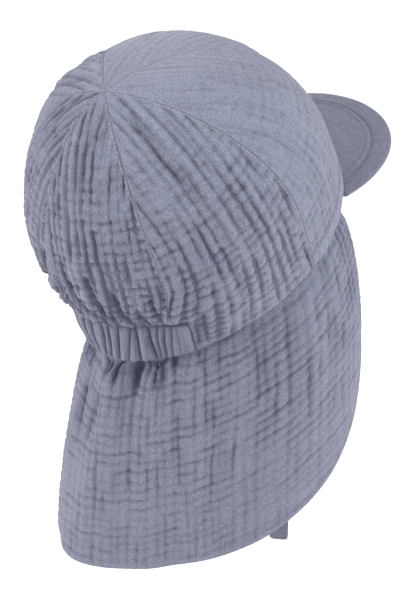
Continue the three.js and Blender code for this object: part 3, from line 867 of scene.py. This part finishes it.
def elastic_casing():
    """The pleated channel. Its top and its ends run in under the crown's cloth."""
    share, row = unit_grid(*CASING_STEPS)
    height = mix(CASING_HEIGHT + CASING_TUCK, 0, row)
    down = np.clip(1 - height / CASING_HEIGHT, 0, 1)
    begin = CASING_END + CASING_NOTCH + SEAM_GAP / RIM_REACH[1] - CASING_UNDER
    sewn = begin + (2 * math.pi - 2 * begin) * share
    angle, place = pulled_round(sewn, place_above(sewn, height))
    plain = shell_point(angle, place)
    outward = shell_outward(angle, place)
    along = lengths_down(plain)
    across = lengths_down(np.swapaxes(plain, 0, 1)).T
    to_edge = np.minimum(along, along[-1:] - along)
    from_end = np.minimum(across, across[:, -1:] - across)
    folds, groove = casing_folds(angle, down)
    bulge = np.sin(math.pi * (0.1 + 0.8 * down)) * smooth_step(CASING_TUCK, 0, height - CASING_HEIGHT)
    depth = 0.5 * crinkle(900, across, along, (3.4, 6.4))
    under_crown = smooth_step(0, 1, height - CASING_HEIGHT)
    tucked = CLOTH_WALL * np.maximum(smooth_step(2.6, 1.5, from_end), under_crown)
    drawn = NAPE_DRAW * step_round(150, 175, angle)
    gathers = PLEAT_DEPTH * (folds - 0.3) * bulge - GROOVE_DEPTH * groove - CASING_CREASE * depth
    relief = gathers - rounded(to_edge) - tucked - drawn
    outer = plain + outward * relief[..., None]
    wall = CLOTH_WALL - rounded(to_edge) + 0.3 * tucked + 0.5 * drawn
    inner = (plain - outward * wall[..., None])[::4, ::4]
    # Painted shade for the material: darker in the creases and grooves, with a painted shadow at its top
    # just below the crown's edge and painted shade along its foot.
    shade = depth + 1.5 * groove + 1.2 * bell(height - CASING_HEIGHT, 1.8) + 0.6 * bell(height, 1)
    made = closed_sheet("pleated_casing", outer, inner, 4, casing_cloth,
                        across, along, shade)
    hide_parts("elastic_casing")
    return outer, outward, angle, down


# Flap

def flap_top(angle, height):
    """A point on the crown's lower edge, moved in to where the flap's cloth lies."""
    place = place_above(angle, height)
    inset = CLOTH_WALL + SEAM_GAP + FACET_ROOM
    return shell_point(angle, place) - inset * shell_outward(angle, place)


EDGE_PLACES = np.linspace(0, 1, 121)
EDGE_LINE = shell_point(math.pi - (math.pi - FLAP_START) * EDGE_PLACES, np.full(121, 2.0))
EDGE_RUN = lengths_down(EDGE_LINE[:, None, :] * (1, 1, 0))[:, 0]


def hem_height(place):
    """Height of the hem: level at the back and rounded up to the front edge."""
    bottom = shell_point(math.pi, 2.0)[2] - FLAP_BACK_LENGTH
    corner = shell_point(FLAP_START, 2.0)[2] - FLAP_FRONT_LENGTH
    to_front = EDGE_RUN[-1] - np.interp(place, EDGE_PLACES, EDGE_RUN)
    turn = np.maximum(0, 1 - to_front / CORNER_WIDTH)
    rolled = HEM_ROLL * smooth_step(0, 0.35, place) * smooth_step(1, 0.8, place)
    return bottom - rolled + (corner - bottom) * (1 - (1 - turn ** CORNER_POWER) ** (1 / CORNER_POWER))


def flap_flare(place):
    rows = FLARE_ROWS
    after = np.clip(np.searchsorted(rows[:, 0], place), 1, len(rows) - 1)
    share = (place - rows[after - 1, 0]) / (rows[after, 0] - rows[after - 1, 0])
    return mix(rows[after - 1, 1], rows[after, 1], smooth_step(0, 1, share))


def flap_point(side, down):
    place = np.abs(side)
    angle = math.pi - side * (math.pi - FLAP_START)
    top = flap_top(angle, 0)
    drop = (top[..., 2] - hem_height(place)) * down
    flare = flap_flare(place) * (1 - np.exp(-drop / mix(FLARE_LENGTH_BACK, FLARE_LENGTH_FRONT, place)))
    swing = flare
    for at, width, reach, length in FLUTES:
        fade = np.exp(-drop / (length * FLAP_BACK_LENGTH)) * smooth_step(0, FLUTE_START, drop)
        swing = swing + reach * FLUTE_REACH * bell(angle / DEGREES - at, width) * fade
    for at, width, reach in HEM_WAVES:
        swing = swing + reach * bell(angle / DEGREES - at, width) * smooth_step(0, 1, down)
    outward = (top - shell_point(math.pi / 2, 2.0) * (0, 1, 0)) * (1, 1, 0)
    fallen = top - drop[..., None] * (0, 0, 1)
    return fallen + unit(outward) * swing[..., None]


def drop_point(angle, drop):
    """A point of the flap from its angle and how far it lies below the casing's foot."""
    side = (math.pi - angle) / (math.pi - FLAP_START)
    top = flap_top(angle, 0)[..., 2]
    return flap_point(side, drop / (top - hem_height(np.abs(side))))


def neck_flap():
    """The long flap, from the tuck inside the crown's edge to its narrow hem."""
    side = np.linspace(-1, 1, FLAP_COLUMNS)[::-1]
    heights = np.linspace(FLAP_TUCK, 1, TUCK_ROWS)
    side_grid, height_grid = np.meshgrid(side, heights)
    tucked = flap_top(math.pi - side_grid * (math.pi - FLAP_START), height_grid)
    side_grid, down = np.meshgrid(side, np.linspace(0, 1, FLAP_ROWS) ** 1.1)
    base = np.vstack([tucked, flap_point(side_grid, down)])
    outward = grid_outward(base, np.array([0, -35, -200]))
    run = lengths_down(np.swapaxes(base, 0, 1)).T
    middle = run[TUCK_ROWS + FLAP_ROWS // 2]
    dense = mix(1, 0.6, smooth_step(0.3, 0.75, np.abs(side)))
    ribwise = np.concatenate([[0], np.cumsum(np.diff(middle) * dense[1:])])
    across = np.broadcast_to(ribwise, run.shape).copy()
    along = lengths_down(base)
    to_hem = along[-1:] - along
    to_front = np.minimum(run, run[:, -1:] - run)
    to_edge = np.minimum(to_hem, to_front)
    calm = 0.75 + 0.25 * smooth_step(20, 75, to_hem)
    beside = np.abs(side)[None, :]
    puffed = 1 + SIDE_CELLS * smooth_step(0.32, 0.55, beside) * smooth_step(30, 90, to_hem)
    depth = crinkle(1700, across, along, (3.2, 5.4), fine=0.15, level=1.0, level_patch=9.0,
                    tick=0.15, least=0.35, usual=0.55) * calm * puffed
    rumple = noise(1790, across / 11, along / 40) * FLAP_RUMPLE
    folds = FOLD_SHARE * pressed(base, FLAP_FOLDS, drop_point, fade_in=0.05, fade_out=0.6)
    hem_line = 0.35 * np.exp(-np.abs(to_edge - HEM_WIDTH) / 0.7)
    held = smooth_step(0.5, 6, to_edge) * 0.8 + 0.2
    below_top = smooth_step(FLAP_TUCK, FLAP_TUCK + 4, along)
    relief = below_top * (held * (rumple - FLAP_CREASE * depth) - folds) - hem_line
    dip = EDGE_DIP * bell(along - 1.8 * FLAP_TUCK, FLAP_TUCK)
    relief = relief - dip
    outer = base + outward * (relief - rounded(to_edge))[..., None]
    follow = below_top * (0.5 * held * rumple - folds) - dip
    inner = (base + outward * (follow - CLOTH_WALL + rounded(to_edge))[..., None])[::4, ::4]
    # Painted shadow for the material just below the crown's edge, and painted shade in the creases, folds
    # and the hem's groove.
    painted_edge_shadow = 0.8 * np.exp(-np.maximum(along - FLAP_TUCK, 0) / 5)
    shade = below_top * (held * depth + 0.5 * folds) + hem_line + painted_edge_shadow
    made = closed_sheet("crinkled_neck_flap", outer, inner, 4, flap_cloth,
                        across, along, shade)
    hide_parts("neck_flap")
    return made, outer, outward


# Peak

def peak_point(side, out):
    """A point of the peak's middle face, from the crown's edge to the rolled edge."""
    angle = PEAK_END * side
    rim = rim_reach(angle)
    edge_drop = ring(WIDEST_DROP, angle) + skirt_height(angle)
    rim_at_end = rim_reach(PEAK_END)
    end_side = math.sin(PEAK_END) * rim_at_end
    end_forward = math.cos(PEAK_END) * rim_at_end
    turn = side * math.pi / 2
    forward_from = np.cos(angle) * (rim - CLOTH_WALL)
    side_to = np.sin(turn) * (end_side + PEAK_END_WIDTH / 2)
    reach = RIM_REACH[0] + PEAK_LENGTH - end_forward
    forward_to = end_forward + PEAK_END_WIDTH / 2 + reach * np.cos(turn)
    forward = mix(forward_from, forward_to, out)
    sideways = mix(np.sin(angle) * (rim - CLOTH_WALL), side_to, out)
    half_along_drop = PEAK_THICKNESS / 2 * math.hypot(1, PEAK_DROOP)
    drop = edge_drop + SEAM_GAP + half_along_drop + PEAK_DROOP * (forward - forward_from)
    return leaning(-sideways, forward, -drop)


def peak():
    """The padded peak, quilted by one stitched groove along its margin."""
    side, out = unit_grid(*PEAK_STEPS)
    side, out = 1 - 2 * side, out ** 0.85
    base = peak_point(side, out)
    outward = grid_outward(base, np.array([0, -120, -400]))
    to_edge = np.linalg.norm(base - base[-1:], axis=-1)
    across = lengths_down(np.swapaxes(base, 0, 1)).T
    middle = PEAK_STEPS[0] // 2
    across = across - across[:, middle:middle + 1]
    along = lengths_down(base)
    groove = np.exp(-np.abs(to_edge - PEAK_MARGIN) / 0.8)
    rim = bell(to_edge - PEAK_MARGIN - 2.4, 1.4)
    margin = smooth_step(PEAK_MARGIN - 1, PEAK_MARGIN + 1.5, to_edge)
    puckers = 0.16 * noise(2300, across / 2.6, to_edge / 5) * bell(to_edge - PEAK_MARGIN, 4)
    soft = 0.32 * noise(2310, across / 7, along / 7) + 0.16 * noise(2320, across / 2.6, along / 2.6)
    half = PEAK_THICKNESS / 2 - rounded(to_edge, PEAK_THICKNESS / 2 * 0.98)
    relief = PEAK_PAD * margin + PEAK_RIM * rim - PEAK_GROOVE * groove + puckers + soft
    relief = relief * smooth_step(0, 2.5, to_edge)
    outer = base + outward * (half + relief)[..., None]
    inner = (base - outward * (half - 0.5 * groove)[..., None])[::2, ::2]
    # The material's painted shade is darker in the stitched groove and follows the puckers beside it.
    made = closed_sheet("padded_peak", outer, inner, 2, peak_cloth,
                        across, along, 1.1 * groove - puckers)
    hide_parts("peak")
    line = [np.argmin(np.abs(to_edge[:, column] - PEAK_MARGIN)) for column in range(side.shape[1])]
    columns = np.arange(side.shape[1])
    add_stitches("peak_stitches", outer[line, columns], outward[line, columns],
                 hem_thread)


# Ties

def chin_tie(name, hand, node):
    """A flat woven tape that hangs straight down inside the flap."""
    foot = flap_top(TIE_ANGLE, 0.0)
    nearby = 0.02
    beside = flap_top(TIE_ANGLE + nearby, 0.0) - flap_top(TIE_ANGLE - nearby, 0.0)
    beside = unit(beside * (1, 1, 0))
    outward = np.array([-beside[1], beside[0], 0])
    flatness = TIE_WIDTH ** 2 / (4 * RIM_REACH[1])
    inset = CLOTH_WALL + SEAM_GAP + FACET_ROOM + flatness
    face = foot - inset * outward
    share, down = unit_grid(*TIE_STEPS)
    height = mix(TIE_TUCK, -TIE_LENGTH, down)
    above_end = height + TIE_LENGTH
    cut = TIE_CORNER * (1 - np.sqrt(1 - np.clip(1 - above_end / TIE_CORNER, 0, 1) ** 2))
    sideways = (share - 0.5) * (TIE_WIDTH - 2 * cut)
    turned = TIE_TURN * smooth_step(-0.5 * TIE_LENGTH, -TIE_LENGTH, height)[..., None]
    ways = beside * np.cos(turned) + outward * np.sin(turned)
    base = face + ways * sideways[..., None] + height[..., None] * np.array([0, 0, 1])
    to_edge = np.minimum(TIE_WIDTH / 2 - np.abs(sideways) - cut, above_end)
    rib = 0.08 * np.cos(2 * math.pi * height / 1.1) + 0.12 * noise(2500, sideways / 4, height / 9)
    selvedge = 0.15 * bell(to_edge - 1, 0.6)
    turn = rounded(to_edge, TIE_THICKNESS / 2)
    outer = base + outward * (np.minimum(rib + selvedge, TIE_FACE_ROOM) - TIE_FACE_ROOM - turn)[..., None]
    inner = (base - outward * (TIE_THICKNESS - turn[..., None]))[::2, ::2]
    if hand < 0:
        outer, inner = outer * (-1, 1, 1), inner * (-1, 1, 1)
    # The material's painted shade is darker along the tape's rounded edges.
    made = closed_sheet(name, outer, inner, 2, tie_cloth, sideways, height,
                        0.5 * bell(to_edge, 0.5))
    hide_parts(node)


def crown_stitches(panels):
    """One row beside each seam, and one along the folded edge beside the peak."""
    for number, (seams, edge) in enumerate(panels):
        line, normals = seams[0]
        keep = slice(12, -4)
        add_stitches("seam_stitches_" + PANEL_NAMES[number], line[keep], normals[keep],
                     seam_thread)
        outer, outward, to_end, sewn = edge
        inside = np.flatnonzero(from_front(sewn[0]) < (BAND_END - BAND_FADE / 2) * DEGREES)
        if len(inside) < 20:
            continue
        rows = [np.argmin(np.abs(to_end[:, column] - BAND_HEIGHT)) for column in inside]
        add_stitches("edge_stitches_" + PANEL_NAMES[number], outer[rows, inside], outward[rows, inside],
                     hem_thread)


def casing_stitches(outer, outward, angle, down):
    """Double rows that close the casing's two flat ends."""
    top, foot, _ = CASING_GROOVES[0]
    for hand, mirrored in (("right", False), ("left", True)):
        for row, beside in enumerate((-0.9, 1.2)):
            rows = np.flatnonzero(down[:, 0] > 0)
            wanted = (mix(top, foot, down[rows, 0]) + beside) * DEGREES
            wanted = 2 * math.pi - wanted if mirrored else wanted
            columns = [np.argmin(np.abs(angle[line] - at)) for line, at in zip(rows, wanted)]
            add_stitches(f"casing_stitches_{hand}_{row + 1}", outer[rows, columns], outward[rows, columns],
                         hem_thread)


def hem_stitches(outer, outward):
    """A row along the flap's hem and its two front edges."""
    below = slice(12, None)
    hem = points_from_edge(np.swapaxes(outer, 0, 1), HEM_WIDTH, True)
    inset = slice(8, -8)
    rows = [add_stitches("hem_stitches", hem[inset], outward[-6, inset], hem_thread)]
    for hand, last in (("right", False), ("left", True)):
        line = points_from_edge(outer, HEM_WIDTH, last)[below][:-6]
        normals = outward[:, -9 if last else 8][below][:-6]
        rows.append(add_stitches("front_hem_stitches_" + hand, line, normals, hem_thread))
    return [row.name for row in rows]


crown_stitches([crown_panel(number) for number in range(PANEL_COUNT)])
casing_stitches(*elastic_casing())
flap_piece, flap_grid, flap_outward = neck_flap()
peak()
chin_tie("woven_tie_right", 1, "chin_tie_right")
chin_tie("woven_tie_left", -1, "chin_tie_left")
hem_stitches(flap_grid, flap_outward)


# Stage, light and camera

FLOOR_REACH = 6.0
FLOOR_LEVEL = -0.75  # far enough below that the cap throws no clear shadow


def stage_floor():
    mesh = bpy.data.meshes.new("floor")
    square = ((-1, -1), (1, -1), (1, 1), (-1, 1))
    corners = [(x * FLOOR_REACH, y * FLOOR_REACH, FLOOR_LEVEL) for x, y in square]
    mesh.from_pydata(corners, [], [(0, 1, 2, 3)])
    material, _, _, shader = new_material("pale_floor")
    set_inputs(shader, {"Base Color": (0.93, 0.93, 0.94, 1), "Roughness": 0.9,
                        "Emission Color": (1, 1, 1, 1), "Emission Strength": 0.2})
    mesh.materials.append(material)
    put_in_scene("floor", mesh)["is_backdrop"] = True


PHOTO_AZIMUTH = 235.3 * DEGREES
PHOTO_ELEVATION = 33.5 * DEGREES
PHOTO_HEIGHT = 601  # pixels
PIXELS_PER_MM = 1.93  # in the photograph, at the crown's middle
PHOTO_CENTRE = (208, 300.5)
CROWN_MIDDLE_PIXEL = (169.5, 237.7)
CROWN_MIDDLE_DEPTH = 105.7
CAMERA_DISTANCE = 1.3


def camera_axes():
    a, e = PHOTO_AZIMUTH, PHOTO_ELEVATION
    right = Vector((math.cos(a), math.sin(a), 0))
    up = Vector((-math.sin(a) * math.sin(e), math.cos(a) * math.sin(e), math.cos(e)))
    back = Vector((math.sin(a) * math.cos(e), -math.cos(a) * math.cos(e), math.sin(e)))
    return right, up, back


def photo_camera():
    """The camera stands where the photograph was taken and looks at its centre."""
    right, up, back = camera_axes()
    middle = Vector(leaning(0, 0, -CROWN_MIDDLE_DEPTH) * MM)
    aside = (PHOTO_CENTRE[0] - CROWN_MIDDLE_PIXEL[0]) / PIXELS_PER_MM * MM
    below = (PHOTO_CENTRE[1] - CROWN_MIDDLE_PIXEL[1]) / PIXELS_PER_MM * MM
    stand = middle + back * CAMERA_DISTANCE
    away = (stand - (middle + right * aside - up * below)).normalized()
    level = up.cross(away).normalized()
    camera = bpy.data.cameras.new("camera")
    camera.sensor_width = 36
    camera.lens = 36 * CAMERA_DISTANCE / (PHOTO_HEIGHT / PIXELS_PER_MM * MM)
    camera.clip_start, camera.clip_end = 0.05, 30
    made = put_in_scene("camera", camera)
    turned = Matrix((level, away.cross(level), away)).transposed().to_4x4()
    made.matrix_world = Matrix.Translation(stand) @ turned
    bpy.context.scene.camera = made
    return middle


def area_light(name, target, along, power, size, colour):
    light = bpy.data.lights.new(name, "AREA")
    light.shape = "DISK"
    light.size = size
    light.energy = power
    light.color = colour
    made = put_in_scene(name, light)
    made.location = target + along
    made.rotation_mode = "QUATERNION"
    made.rotation_quaternion = along.to_track_quat("Z", "Y")


# Name, distance to the camera's right, up and towards it in metres, watts, size, colour
LIGHTS = (
    ("left_light", -1.7, 0.4, 0.8, 24.5, 0.8, (1, 1, 1)),
    ("right_light", 1.4, 0.7, 1.1, 27, 0.5, (0.98, 0.99, 1)),
    ("top_light", 0, 2.0, 0.5, 5, 1.0, (1, 1, 1)),
)


def studio(target):
    right, up, back = camera_axes()
    for name, aside, above, behind, power, size, colour in LIGHTS:
        along = right * aside + up * above + back * behind
        area_light(name, target, along, power, size, colour)
    world = bpy.data.worlds.new("studio")
    world.use_nodes = True
    set_inputs(world.node_tree.nodes["Background"], {"Color": (1, 1, 1, 1), "Strength": 0.66})
    bpy.context.scene.world = world
    bpy.context.scene.view_settings.view_transform = "Standard"


stage_floor()
studio(photo_camera())

dressed_box = [list(corner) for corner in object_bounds()]
